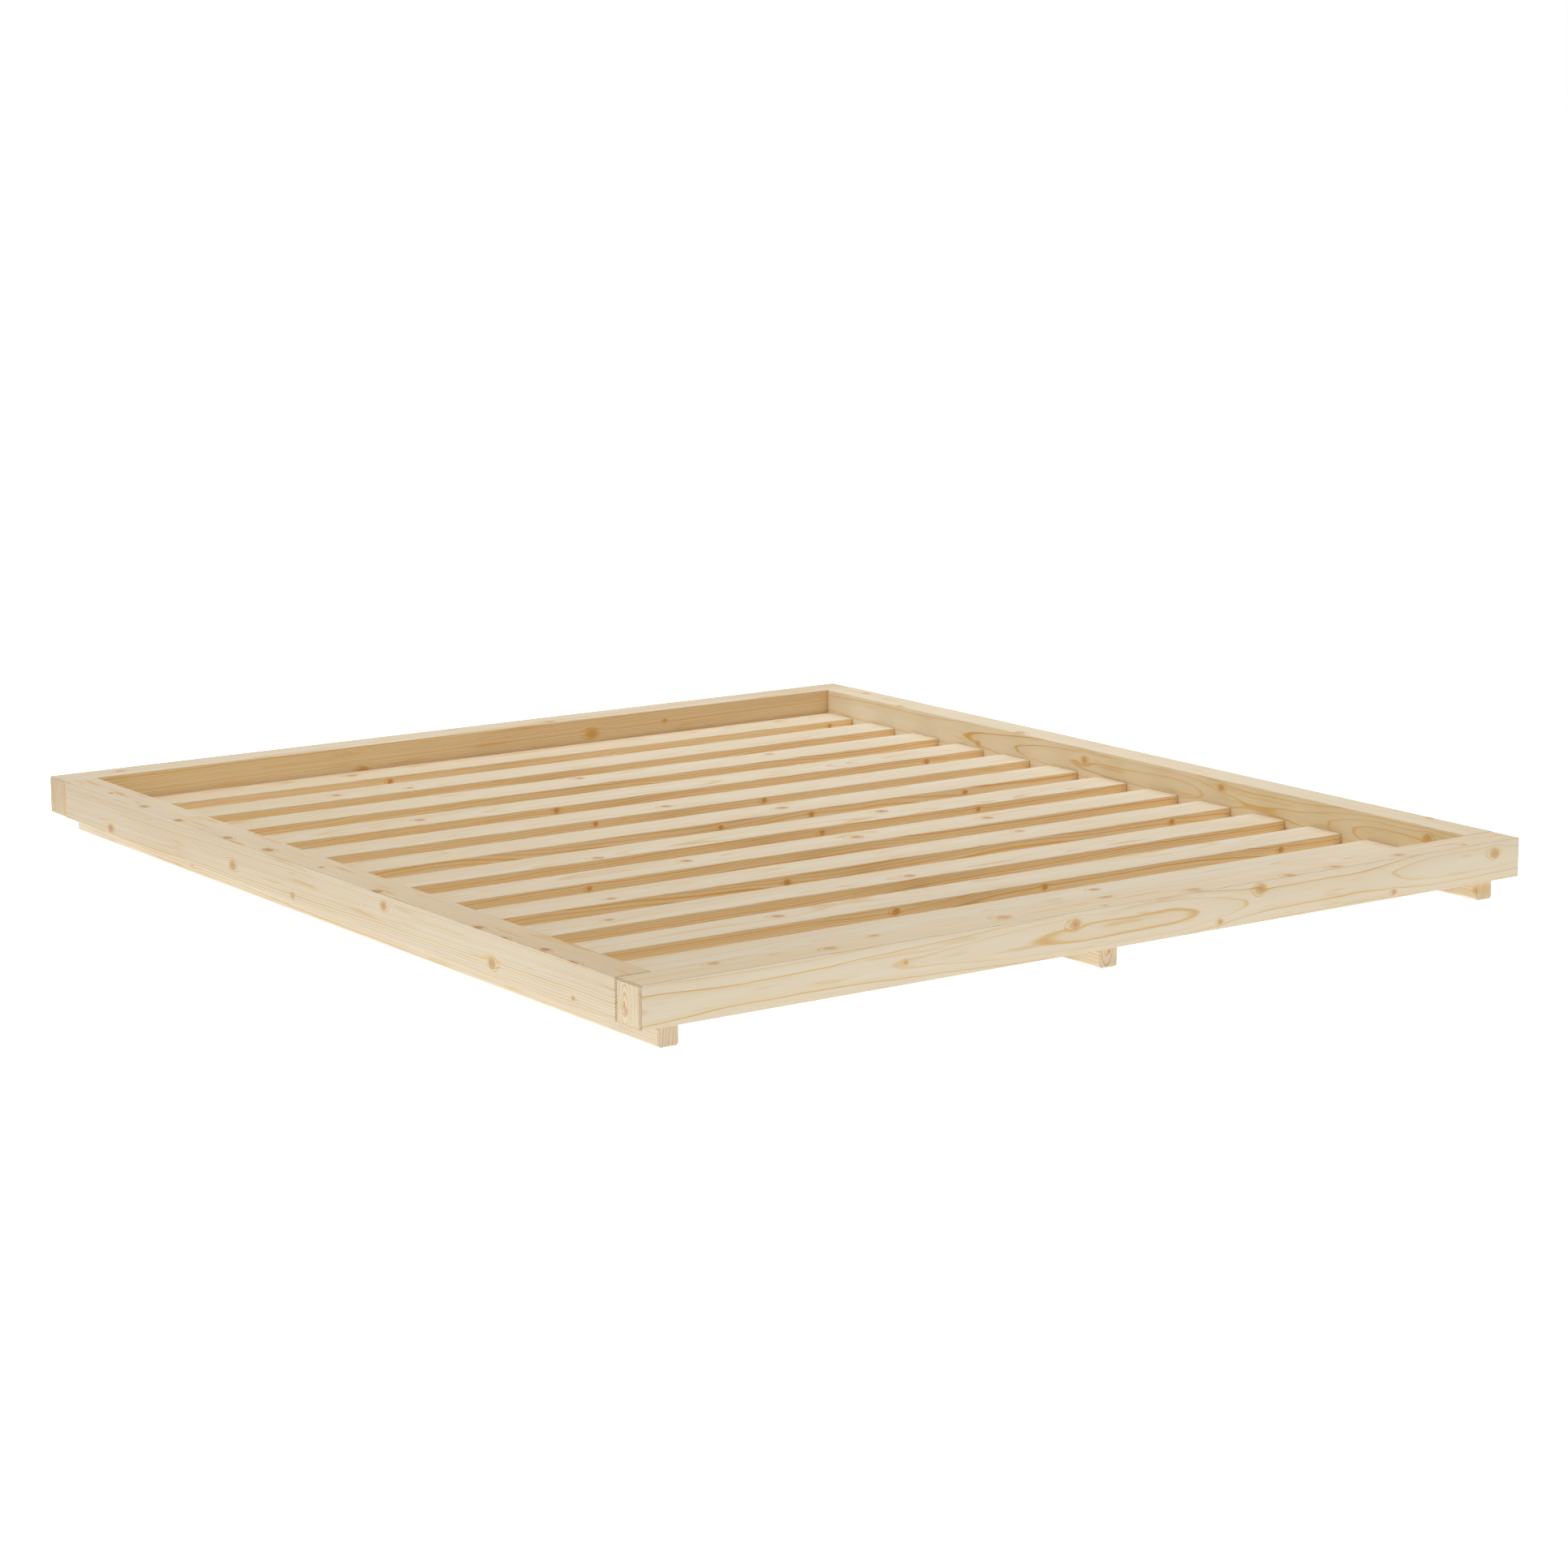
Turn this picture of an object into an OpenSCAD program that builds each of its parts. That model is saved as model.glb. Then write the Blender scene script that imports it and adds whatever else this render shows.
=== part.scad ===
// Low double bed frame of solid softwood.
// Four square-section rails stand on three long floor runners. The front and
// back rails run the full width and the side rails butt between them. Thirteen
// cross slats lie on the runners inside the rails and carry the mattress.
// Origin: centre of the footprint on the floor. X runs along the slats, Y runs
// from the front rail to the back rail, Z is up. Millimetres.

/* [Frame] */
// Outer width, along the slats
frame_w = 1960; // [1360:10:2160]
// Outer length, along the runners
frame_l = 2150; // [2060:10:2250]
// Width of a rail's section
rail_w = 69; // [66:1:80]
// Height of a rail's section
rail_h = 74; // [70:1:120]
// Easing of the rails' long edges
rail_ease = 1; // [0.5:0.5:3]
// Easing of the edges round the rails' ends
rail_end_ease = 3.5; // [1:0.5:4]

/* [Runners] */
// Width of a runner's section
runner_w = 40; // [38:1:60]
// Height of a runner, floor to rail
runner_h = 40; // [36:1:60]
// From the frame's side to an outer runner's outer face
runner_inset = 48; // [48:1:52]
// From the frame's front or back face to a runner's end
runner_end_inset = 22; // [10:1:30]
// Chamfer along a runner's two bottom edges
runner_chamfer = 5; // [2:0.5:5]
// Easing of a runner's ends
runner_ease = 2; // [0.5:0.5:2]

/* [Slats] */
// Number of slats
slat_count = 13; // [10:1:15]
// Width of a slat
slat_w = 88.5; // [60:0.5:100]
// Thickness of a slat
slat_t = 22; // [20:1:28]
// Easing of a slat's edges
slat_ease = 1; // [0.5:0.5:3]
// Gap between the back rail and the first slat
slat_gap_back = 8; // [2:1:30]
// Gap between the front rail and the last slat
slat_gap_front = 16; // [2:1:30]
// Gap between a slat's end and the side rail
slat_end_gap = 1; // [0.5:0.5:3]

/* [Corner joints] */
// Diameter of a dowel
dowel_d = 10; // [8:1:12]
// Length of a dowel, half in each board
dowel_l = 60; // [40:2:60]
// Diameter of a hanger bolt
bolt_d = 8; // [6:1:8]
// Length of bolt held in the front or back rail
bolt_grip = 45; // [35:1:50]
// From the frame's side to a hanger bolt
bolt_inset = 31; // [30:1:33]
// Height of a hanger bolt above a rail's underside
bolt_up = 24; // [22:1:26]
// From a side rail's end to the centre of its bolt pocket
pocket_back = 55; // [45:1:80]
// Diameter of a bolt pocket
pocket_d = 26; // [24:1:28]

/* [Screws] */
// Shank of a screw between a runner and a rail
rail_screw_d = 5; // [4:0.5:6]
// Shank length of that screw
rail_screw_l = 60; // [45:5:65]
// Runner wood between that screw's head and the rail
rail_screw_seat = 26; // [20:1:30]
// Number of screws along each side rail
side_screw_count = 5; // [3:1:7]
// Shank of a slat screw
slat_screw_d = 4.5; // [3.5:0.5:5]
// Shank length of a slat screw
slat_screw_l = 35; // [30:1:40]
// Slat wood above a slat screw's point
slat_screw_cover = 5; // [4:1:8]

/* [Hidden] */
$fn = 48;
slide = 0.05;      // radial clearance of a dowel, bolt or screw in its hole
hole_spare = 2;    // how much deeper a blind hole is than what it holds
head_room = 1.5;   // how much wider a counterbore is than its screw head
past = 1;          // how far a cutting shape runs past a face

half_w = frame_w / 2;
half_l = frame_l / 2;
deck_z = runner_h;                       // underside of the rails and slats
side_l = frame_l - 2 * rail_w;           // side rail, between the end rails
inner_w = frame_w - 2 * rail_w;
runner_l = frame_l - 2 * runner_end_inset;
slat_l = inner_w - 2 * slat_end_gap;
slat_span = side_l - slat_gap_back - slat_gap_front - slat_w;
slat_pitch = slat_span / (slat_count - 1);
runner_x = half_w - runner_inset - runner_w / 2;
end_screw_y = half_l - (rail_w + runner_end_inset) / 2;
slat_screw_edge = 8;                     // from a slat's end to its screw
slat_screw_x = half_w - rail_w - slat_end_gap - slat_screw_edge;
slat_screw_sink = runner_h + slat_t - slat_screw_cover - slat_screw_l;
rail_screw_sink = runner_h - rail_screw_seat;
side_screw_x = half_w - (runner_inset + rail_w) / 2;
side_screw_end = 150;                    // from a side rail's end to its first screw
side_screw_span = side_l - 2 * side_screw_end;
dowel_side = 18;                         // from a side rail's faces to a dowel
dowel_drop = 22;                         // below a rail's top
dowel_up = rail_h - dowel_drop;
pocket_top = bolt_up + pocket_d / 2;     // pocket depth above a rail's underside
washer_flat = 7;                         // from the pocket's centre to the nut
washer_h = 18;
nut_flats = 13;                          // across the nut's flats
nut_t = 6.5;
bolt_tail = 4;                           // bolt past the pocket's centre
rail_head_d = 9;
rail_head_h = 3;
slat_head_d = 8;
slat_head_h = 2.5;

function slat_y(i) = half_l - rail_w - slat_gap_back - slat_w / 2 - i * slat_pitch;
function two_digits(n) = n < 10 ? str("0", n) : str(n);
slat_names = [for (i = [1 : slat_count]) str("slat_", two_digits(i))];

rail_pine = [0.90, 0.83, 0.71];
runner_pine = [0.88, 0.80, 0.66];
slat_pine = [0.92, 0.87, 0.76];
beech = [0.80, 0.64, 0.45];
zinc = [0.72, 0.73, 0.74];

// A rectangle centred on the origin, its corners cut back by c_low below and
// c_high above
module cut_rect(a, b, c_low, c_high) {
  polygon([
    [-a / 2 + c_low, -b / 2], [a / 2 - c_low, -b / 2],
    [a / 2, -b / 2 + c_low], [a / 2, b / 2 - c_high],
    [a / 2 - c_high, b / 2], [-a / 2 + c_high, b / 2],
    [-a / 2, b / 2 - c_high], [-a / 2, -b / 2 + c_low]
  ]);
}

// A board on its underside, with every edge eased: its upright edges, its edges
// along X, and its edges along Y below and above
module board(w, l, h, upright, along_x, along_y_low, along_y_high) {
  translate([0, 0, h / 2])
    intersection() {
      linear_extrude(height = h + past, center = true)
        cut_rect(w, l, upright, upright);
      rotate([90, 0, 0])
        linear_extrude(height = l + past, center = true)
          cut_rect(w, h, along_y_low, along_y_high);
      rotate([90, 0, 90])
        linear_extrude(height = w + past, center = true)
          cut_rect(l, h, along_x, along_x);
    }
}

// A screw that points up, its head's seat at the origin
module screw(d, l, head_d, head_h) {
  tip = 1.5 * d;
  brow = 0.5;
  rotate_extrude()
    polygon([
      [0, -head_h], [head_d / 2 - brow, -head_h], [head_d / 2, -head_h + brow],
      [head_d / 2, 0], [d / 2, 0], [d / 2, l - tip], [0, l]
    ]);
}

// The hole that a screw and its sunk head need, from the underside at z = 0
module screw_hole(d, l, head_d, sink) {
  translate([0, 0, -past])
    cylinder(d = head_d + head_room, h = sink + past);
  translate([0, 0, -past])
    cylinder(r = d / 2 + slide, h = sink + l + hole_spare + past);
}

// Dowel, bolt and pocket places at one corner. sx and sy are its signs.
module at_corner_dowels(sx, sy) {
  for (x = [dowel_side, rail_w - dowel_side])
    translate([sx * (half_w - x), sy * (half_l - rail_w), deck_z + dowel_up])
      rotate([90, 0, 0])
        children();
}

module at_corner_bolt(sx, sy) {
  translate([sx * (half_w - bolt_inset), sy * (half_l - rail_w), deck_z + bolt_up])
    rotate([sy * 90, 0, 0])
      children();
}

module at_pocket(sx, sy) {
  translate([sx * (half_w - bolt_inset), sy * (half_l - rail_w - pocket_back), deck_z])
    mirror([0, sy < 0 ? 1 : 0, 0])
      children();
}

module corner_holes(sx, sy) {
  at_corner_dowels(sx, sy)
    cylinder(r = dowel_d / 2 + slide, h = dowel_l + hole_spare, center = true);
  at_corner_bolt(sx, sy)
    translate([0, 0, -bolt_grip - hole_spare])
      cylinder(r = bolt_d / 2 + slide, h = bolt_grip + hole_spare + pocket_back);
}

module bolt_pocket(sx, sy) {
  at_pocket(sx, sy)
    translate([0, 0, -past])
      cylinder(d = pocket_d, h = pocket_top + past);
}

// Every place along X where a runner lies
runner_xs = [-runner_x, 0, runner_x];

module end_screw_places(sy) {
  for (x = runner_xs)
    translate([x, sy * end_screw_y, 0])
      children();
}

module side_screw_places(sx) {
  for (i = [0 : side_screw_count - 1])
    translate([
      sx * side_screw_x,
      -side_screw_span / 2 + i * side_screw_span / (side_screw_count - 1),
      0
    ])
      children();
}

module rail_screw_hole() {
  screw_hole(rail_screw_d, rail_screw_l, rail_head_d, rail_screw_sink);
}

module slat_screw_hole() {
  screw_hole(slat_screw_d, slat_screw_l, slat_head_d, slat_screw_sink);
}

// Front rail at sy = -1, back rail at sy = 1
module end_rail(sy) {
  color(rail_pine)
    difference() {
      translate([0, sy * (half_l - rail_w / 2), deck_z])
        board(frame_w, rail_w, rail_h,
          rail_end_ease, rail_ease, rail_end_ease, rail_end_ease);
      for (sx = [-1, 1])
        corner_holes(sx, sy);
      end_screw_places(sy)
        rail_screw_hole();
    }
}

// Left rail at sx = -1, right rail at sx = 1
module side_rail(sx) {
  color(rail_pine)
    difference() {
      translate([sx * (half_w - rail_w / 2), 0, deck_z])
        board(rail_w, side_l, rail_h,
          rail_end_ease, rail_end_ease, rail_ease, rail_ease);
      for (sy = [-1, 1]) {
        corner_holes(sx, sy);
        bolt_pocket(sx, sy);
      }
      side_screw_places(sx)
        rail_screw_hole();
    }
}

// A floor runner, centred at x. screw_x is where its slat screws go, and sx is
// the side whose rail it carries, or 0.
module runner(x, screw_x, sx) {
  color(runner_pine)
    difference() {
      translate([x, 0, 0])
        board(runner_w, runner_l, runner_h,
          runner_ease, runner_ease, runner_chamfer, runner_ease);
      for (sy = [-1, 1])
        translate([x, sy * end_screw_y, 0])
          rail_screw_hole();
      for (i = [0 : slat_count - 1])
        translate([screw_x, slat_y(i), 0])
          slat_screw_hole();
      if (sx != 0)
        side_screw_places(sx)
          rail_screw_hole();
    }
}

module slat(i) {
  color(slat_pine)
    difference() {
      translate([0, slat_y(i), deck_z])
        board(slat_l, slat_w, slat_t,
          slat_ease, slat_ease, slat_ease, slat_ease);
      for (x = [-slat_screw_x, 0, slat_screw_x])
        translate([x, slat_y(i), 0])
          slat_screw_hole();
    }
}

module corner_dowels() {
  tip = 1.5;
  color(beech)
    for (sx = [-1, 1], sy = [-1, 1])
      at_corner_dowels(sx, sy)
        rotate_extrude()
          polygon([
            [0, -dowel_l / 2], [dowel_d / 2 - tip, -dowel_l / 2],
            [dowel_d / 2, -dowel_l / 2 + tip], [dowel_d / 2, dowel_l / 2 - tip],
            [dowel_d / 2 - tip, dowel_l / 2], [0, dowel_l / 2]
          ]);
}

// Wood thread in the end rail, machine thread through the side rail's end
module hanger_bolts() {
  tip = 8;
  point = 1;
  back = pocket_back + bolt_tail;
  color(zinc)
    for (sx = [-1, 1], sy = [-1, 1])
      at_corner_bolt(sx, sy)
        rotate_extrude()
          polygon([
            [0, -bolt_grip], [bolt_d / 2, -bolt_grip + tip],
            [bolt_d / 2, back - point], [bolt_d / 2 - point, back], [0, back]
          ]);
}

// Round back against the pocket's wall, flat face to the nut
module half_moon_washers() {
  color(zinc)
    for (sx = [-1, 1], sy = [-1, 1])
      at_pocket(sx, sy)
        difference() {
          intersection() {
            translate([0, 0, bolt_up - washer_h / 2])
              cylinder(r = pocket_d / 2 - slide, h = washer_h);
            translate([-pocket_d / 2, washer_flat, bolt_up - washer_h / 2 - past])
              cube([pocket_d, pocket_d, washer_h + 2 * past]);
          }
          translate([0, 0, bolt_up])
            rotate([-90, 0, 0])
              cylinder(r = bolt_d / 2 + slide, h = pocket_d);
        }
}

module hanger_nuts() {
  corner_d = nut_flats / cos(30);
  color(zinc)
    for (sx = [-1, 1], sy = [-1, 1])
      at_pocket(sx, sy)
        translate([0, washer_flat - nut_t, bolt_up])
          rotate([-90, 0, 0])
            difference() {
              cylinder(d = corner_d, h = nut_t, $fn = 6);
              translate([0, 0, -past])
                cylinder(r = bolt_d / 2 + slide, h = nut_t + 2 * past);
            }
}

module rail_screw() {
  translate([0, 0, rail_screw_sink])
    screw(rail_screw_d, rail_screw_l, rail_head_d, rail_head_h);
}

module runner_end_screws() {
  color(zinc)
    for (sy = [-1, 1])
      end_screw_places(sy)
        rail_screw();
}

module side_rail_screws() {
  color(zinc)
    for (sx = [-1, 1])
      side_screw_places(sx)
        rail_screw();
}

module slat_screws(x) {
  color(zinc)
    for (i = [0 : slat_count - 1])
      translate([x, slat_y(i), slat_screw_sink])
        screw(slat_screw_d, slat_screw_l, slat_head_d, slat_head_h);
}

end_rail(-1);  // front_rail
end_rail(1);  // back_rail
side_rail(-1);  // left_rail
side_rail(1);  // right_rail
runner(-runner_x, -slat_screw_x, -1);  // left_runner
runner(0, 0, 0);  // middle_runner
runner(runner_x, slat_screw_x, 1);  // right_runner
for (i = [0 : slat_count - 1])
  slat(i);
corner_dowels();
hanger_bolts();
half_moon_washers();
hanger_nuts();
runner_end_screws();
side_rail_screws();
slat_screws(-slat_screw_x);  // slat_screws_left
slat_screws(0);  // slat_screws_middle
slat_screws(slat_screw_x);  // slat_screws_right
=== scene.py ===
"""Looks for the wooden bed frame: pine boards with growth rings and knots, steel and beech hardware.

Every shape comes from the CAD frame. This script gives each board its own cut of
timber, computed in three dimensions, so that lines run on round the edges. Each face's
tint also carries painted light and shade, and faces that point down get painted shade.
"""
import math

import bpy
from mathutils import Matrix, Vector


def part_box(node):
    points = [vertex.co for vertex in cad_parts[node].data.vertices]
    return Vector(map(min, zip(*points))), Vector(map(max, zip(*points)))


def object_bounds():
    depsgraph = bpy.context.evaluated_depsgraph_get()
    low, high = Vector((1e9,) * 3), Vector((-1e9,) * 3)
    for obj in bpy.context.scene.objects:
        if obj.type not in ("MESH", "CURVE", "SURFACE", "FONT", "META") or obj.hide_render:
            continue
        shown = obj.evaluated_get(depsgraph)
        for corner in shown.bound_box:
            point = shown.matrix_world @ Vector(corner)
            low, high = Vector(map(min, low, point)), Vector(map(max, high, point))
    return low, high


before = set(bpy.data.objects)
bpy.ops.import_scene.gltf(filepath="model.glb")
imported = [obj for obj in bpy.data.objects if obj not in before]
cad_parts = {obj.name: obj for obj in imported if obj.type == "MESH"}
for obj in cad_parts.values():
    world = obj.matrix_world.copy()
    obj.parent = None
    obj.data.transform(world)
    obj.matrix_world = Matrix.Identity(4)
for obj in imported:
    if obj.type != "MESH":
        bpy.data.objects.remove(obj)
cad_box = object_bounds()

# ---------------------------------------------------------------- camera and studio
CAMERA_PLACE = (-4.186, -5.933, 1.561)
CAMERA_HEADING = 35.64  # degrees from +Y towards +X
CAMERA_DIP = 10.95  # degrees below level
CAMERA_LENS = 87.87  # mm
CAMERA_SENSOR = 36.0  # mm

FLOOR_HALF = 60.0
FLOOR_TOP = -0.0003  # just clear of the runners' undersides
FLOOR_WHITE = (0.9, 0.9, 0.9, 1)
GLOW_UNDER = 0.20  # how strongly the floor glows under the bed
GLOW_BESIDE = 0.73  # the same, just outside the bed's edges
GLOW_FAR = 0.45  # what that falls to farther off, as a share of it
GLOW_RISE = (-0.20, -0.04)  # metres outside the bed's edges between which it grows
GLOW_FALL = (0.02, 0.40)  # and between which it falls again

WHITE = (1, 1, 1, 1)
SKY_STRENGTH = 0.35
# Lamps are in metres and watts.
OVERHEAD_LAMP = {"place": (0.8, 1.1, 4.4), "target": (0.3, 0.4, 0), "size": 5.0, "power": 172}
SIDE_LAMP = {"place": (-5.8, -2.7, 2.4), "target": (-0.1, -0.3, 0), "size": 2.5, "power": 42}

# ---------------------------------------------------------------- colours, linear
PALE = (0.83, 0.715, 0.535)
CREAM = (0.85, 0.752, 0.59)
GOLD = (0.78, 0.525, 0.19)
AMBER = (0.70, 0.41, 0.115)
# the brown of the slanted edges at the boards' ends: partly their real cut grain, partly painted shade
CUT_GRAIN_AND_SHADE = (0.42, 0.25, 0.11)
# painted shade, which faces that point down are darkened towards
UNDERSIDE_SHADE = (0.58, 0.51, 0.40)
KNOT_PINK = (0.64, 0.385, 0.215)
KNOT_DARK = (0.42, 0.12, 0.038)
ZINC_DULL = (0.52, 0.53, 0.54)
ZINC_BRIGHT = (0.72, 0.73, 0.75)
BEECH = (0.62, 0.40, 0.24)
BEECH_FLECK = (0.40, 0.22, 0.12)

# ---------------------------------------------------------------- knots
# A point's distance from a knot is taken in the knot's radii, and scaled by these
# along and across the board, for the lines' bend, the disc and the hook.
BEND_SCALE = (0.40, 0.62, 0.0)
DISC_SCALE = (0.82, 1.0, 0.0)
HOOK_SCALE = (0.40, 0.72, 0.0)
BEND_SHARE = 0.93  # how far the lines are pushed off the knot's level
# Each pair is the scaled distance where a rise or a fall begins, and where it ends.
RIM_RISE = (0.80, 0.93)
RIM_FALL = (0.96, 1.08)
DISC_FALL = (0.62, 0.78)
KNOT_FALL = (0.97, 1.08)
HEART_FALL = (0.04, 0.26)
HALO_FALL = (0.3, 1.1)
HOOK_RISE = (0.86, 0.96)
HOOK_FALL = (0.97, 1.06)
HOOK_SIDE = (-1.2, 0.8)  # radii along the board, over which the hook ends
DISC_EDGE = 0.60  # how much of the disc is left outside its fall
HEART_DARK = (0.95, 0.15)  # how dark the knot is in its heart, and outside it
RIM_DARK = 0.42
WOBBLE_SCALE = 75.0  # per metre, the noise that makes knots uneven
WOBBLE_SHARE = 0.75

# ---------------------------------------------------------------- growth rings
DRIFT_SCALE = 1.5  # per metre, how quickly the pith wanders
WAVER_STRETCH = (5.0, 34.0, 34.0)  # per metre, along, across and up
WAVER = 0.0034  # metres that fine noise moves a ring
UNEVEN_SCALE = 0.55  # per year
UNEVEN = 1.6  # years that the uneven widths move a ring
SUMMER_RISE = (0.30, 0.9, 0.0, 0.16)  # the part of the year from and to, and how much late wood at each
LATE_START = 0.86  # where in its year a hard line of late wood starts
LATE_SOFTENING = 0.36  # how much sooner a soft one does
LATE_FULL = 0.91
LATE_SHARE = 0.84
LATE_FALL = (0.93, 1.0)
FAINT_YEAR = 0.42  # the faintest year's line against the strongest

# The same for the boards' ends, whose places are up and across. The lines stand upright,
# or make a flame round the end's knot.
END_RINGS = {"Spacing": 0.0058, "Wander": 0.03, "Soft": 0.8}
END_SEED_STEP = 3.0
END_PITH = (0.0, 0.07, 0.01)
END_LEAN = (0.0, 0.1, 0.0)
FLAME_LEAN = 0.36  # metres that the pith leans in for each metre up: the less, the longer the flame

# ---------------------------------------------------------------- faces
# Each pair is how much of the normal lies along an axis where such a face starts or
# stops to count, and where it has done so.
END_FACING = (0.80, 0.82)
TOP_FACING = (0.60, 0.68)
BELOW_FACING = (-0.7, -0.2)
SLANT_RISE = (0.3, 0.5)
SLANT_FALL = (0.8, 0.9)
UPWARD_RISE = (0.2, 0.6)
OUTWARD_RISE = (0.3, 0.6)

# ---------------------------------------------------------------- wood
# Noise is (stretch along, across and up, in 1/metre), detail, roughness.
CLOUDS = ((2.2, 18.0, 18.0), 3.0, 0.55)
STREAKS = ((3.0, 230.0, 230.0), 3.0, 0.6)
SMEARS = ((7.0, 95.0, 95.0), 2.0, 0.5)
FIBRES = ((12.0, 900.0, 900.0), 2.0, 0.6)
# Each pair is the noise, or the late wood, where a colour starts and where it is whole.
PALE_RISE = (0.3, 0.7)
AMBER_RISE = (0.42, 0.62)
SMEAR_RISE = (0.60, 0.72)
STREAK_RISE = (0.30, 0.70)
CUT_RISE = (0.1, 0.5)
HALO_SHARE = 0.55
HOOK_SHARE = 0.70
SMEAR_SHARE = 0.42
STREAK_SHARE = 0.16
# how much painted shade the faces that point down get
BELOW_SHADE_SHARE = 0.25
KNOT_SHARE = 0.62
KNOT_SHARE_BY_TONE = 0.6
# upward-facing slanted edges keep less of the painted shade in that brown
CUT_ON_TOP = 0.45  # how much of the cut grain's brown an upward face keeps
ROUGHNESS = 0.52
STREAKS_ROUGHER = 0.16
LATE_SMOOTHER = -0.08
SPECULAR = 0.35
FIBRE_STRENGTH = 0.25
FIBRE_DEPTH = 0.0004  # metres

# ---------------------------------------------------------------- hardware
MOTTLE_SCALE = 900.0  # per metre
STEEL_ROUGHNESS = (0.24, 0.40)
FLECKS = ((900.0, 120.0, 900.0), 2.0, 0.5)
FLECK_RISE = (0.45, 0.7)
BEECH_ROUGHNESS = (0.55, 0.68)

# What a board has unless its own description says otherwise.
PLAIN_BOARD = {
    "soft": 0.6, "wander": 0.012, "top_spacing": None, "swells": (), "end_knot": None,
    "knot_tone": 0.0, "top_tone": 0.0, "top_smear": SMEAR_SHARE, "cut_grain": (0.22, 0.32),
    "far_side": None, "far_top": None, "outside": None, "end": None,
}


class Graph:
    """Short ways to add shader nodes to one tree and join them."""

    def __init__(self, tree):
        self.tree = tree

    def add(self, kind, inputs=None, **settings):
        made = self.tree.nodes.new(kind)
        for name, value in settings.items():
            setattr(made, name, value)
        for key, value in (inputs or {}).items():
            self.feed(made.inputs[key], value)
        return made

    def feed(self, socket, value):
        if isinstance(value, bpy.types.NodeSocket):
            self.tree.links.new(value, socket)
        else:
            socket.default_value = value

    def math(self, operation, *values):
        made = self.add("ShaderNodeMath", operation=operation)
        for socket, value in zip(made.inputs, values):
            self.feed(socket, value)
        return made.outputs[0]

    def product(self, first, *others):
        for other in others:
            first = self.math("MULTIPLY", first, other)
        return first

    def vector(self, operation, *values):
        made = self.add("ShaderNodeVectorMath", operation=operation)
        for socket, value in zip(made.inputs, values):
            self.feed(socket, value)
        return made.outputs[1 if operation in ("LENGTH", "DOT_PRODUCT") else 0]

    def scaled(self, vector, factor):
        made = self.add("ShaderNodeVectorMath", operation="SCALE")
        self.feed(made.inputs[0], vector)
        self.feed(made.inputs["Scale"], factor)
        return made.outputs[0]

    def split(self, vector):
        return self.add("ShaderNodeSeparateXYZ", {0: vector}).outputs

    def joined(self, x, y, z):
        return self.add("ShaderNodeCombineXYZ", {0: x, 1: y, 2: z}).outputs[0]

    def step(self, value, low, high, to_low=0.0, to_high=1.0):
        """A smooth change from to_low at low to to_high at high."""
        ends = {0: value, 1: low, 2: high, 3: to_low, 4: to_high}
        return self.add("ShaderNodeMapRange", ends, interpolation_type="SMOOTHSTEP").outputs[0]

    def fall(self, value, low, high):
        """A smooth fall from 1 at low to 0 at high."""
        return self.step(value, low, high, 1.0, 0.0)

    def noise(self, place, scale, detail=2.0, roughness=0.5):
        ends = {"Vector": place, "Scale": scale, "Detail": detail, "Roughness": roughness}
        return self.add("ShaderNodeTexNoise", ends).outputs

    def drawn_out(self, place, stretch, detail, roughness):
        """Noise drawn out along the grain."""
        return self.noise(self.vector("MULTIPLY", place, stretch), 1.0, detail, roughness)[0]

    def between(self, share, first, second):
        """The number that is first where share is 0, and second where it is 1."""
        return self.add("ShaderNodeMix", {0: share, 2: first, 3: second}, data_type="FLOAT").outputs[0]

    def mixed(self, share, first, second, blend="MIX"):
        """The same for two colours."""
        made = self.add("ShaderNodeMix", data_type="RGBA", blend_type=blend)
        self.feed(made.inputs[0], share)
        self.feed(made.inputs[6], colour(first))
        self.feed(made.inputs[7], colour(second))
        return made.outputs[2]


def colour(value):
    """A linear colour with its alpha, or the socket that it is."""
    return value if isinstance(value, bpy.types.NodeSocket) else (*value, 1.0)


def new_material(name):
    """A material, and the Graph and the shader to finish it with."""
    material = bpy.data.materials.new(name)
    material.use_nodes = True
    return material, Graph(material.node_tree), material.node_tree.nodes["Principled BSDF"]


def new_group(name, inputs, outputs):
    """A node group with the given sockets, and the Graph and ends to fill it with."""
    tree = bpy.data.node_groups.new(name, "ShaderNodeTree")
    for direction, sockets in (("INPUT", inputs), ("OUTPUT", outputs)):
        for label, kind in sockets:
            tree.interface.new_socket(label, in_out=direction, socket_type="NodeSocket" + kind)
    graph = Graph(tree)
    return graph, graph.add("NodeGroupInput").outputs, graph.add("NodeGroupOutput").inputs


def grouped(graph, tree, ends):
    """Adds a node group with its ends fed by name, and gives its outputs."""
    made = graph.add("ShaderNodeGroup", node_tree=tree)
    for name, value in ends.items():
        graph.feed(made.inputs[name], value)
    return made.outputs


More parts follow.
